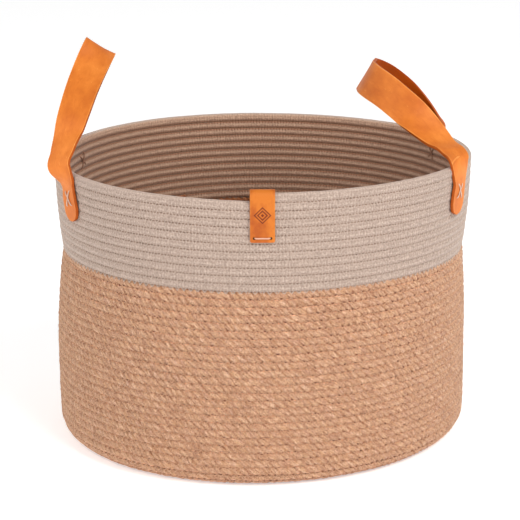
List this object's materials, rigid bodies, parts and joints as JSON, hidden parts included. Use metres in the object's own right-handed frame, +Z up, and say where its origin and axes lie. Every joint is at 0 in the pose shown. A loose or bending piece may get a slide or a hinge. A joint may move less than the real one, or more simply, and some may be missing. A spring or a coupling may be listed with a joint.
{
  "type": "fabric storage bin",
  "caption": "Round open storage bin sewn from coiled jute and cotton rope, with leather strap handles that swing at the rim and a folded leather label.",
  "frame": {"origin": "centre of the round base's underside, where the bin stands on the floor", "axes": "+Z up out of the opening; +X from the centre towards the right handle; -Y towards the label"},
  "size_m": [0.4096, 0.4098, 0.3929],
  "materials": {
    "jute_rope": "twisted jute rope, coarse and matte",
    "cotton_rope": "braided cotton rope, matte",
    "strap_leather": "tan leather, satin",
    "label_leather": "tan leather, satin, debossed",
    "stitch_thread": "waxed thread"
  },
  "bodies": {
    "basket": {"jute_base": "jute_rope", "jute_wall": "jute_rope", "cotton_wall": "cotton_rope", "label": "label_leather", "label_stitch": "stitch_thread", "strap_right_tab_front": "strap_leather", "strap_right_tab_back": "strap_leather", "strap_left_tab_front": "strap_leather", "strap_left_tab_back": "strap_leather", "stitch_right_front": "stitch_thread", "stitch_right_back": "stitch_thread", "stitch_left_front": "stitch_thread", "stitch_left_back": "stitch_thread"},
    "handle_right": {"strap_right_loop": "strap_leather"},
    "handle_left": {"strap_left_loop": "strap_leather"}
  },
  "joints": [
    {"name": "handle_right_swing", "type": "hinge", "parent": "basket", "child": "handle_right", "pos_m": [0.18652, -0.00033, 0.28596], "axis": [0.0017, 1, 0], "range_deg": [-22, 175]},
    {"name": "handle_left_swing", "type": "hinge", "parent": "basket", "child": "handle_left", "pos_m": [-0.19154, -0.01239, 0.28596], "axis": [0.0645, -0.9979, 0], "range_deg": [-57, 141]}
  ]
}
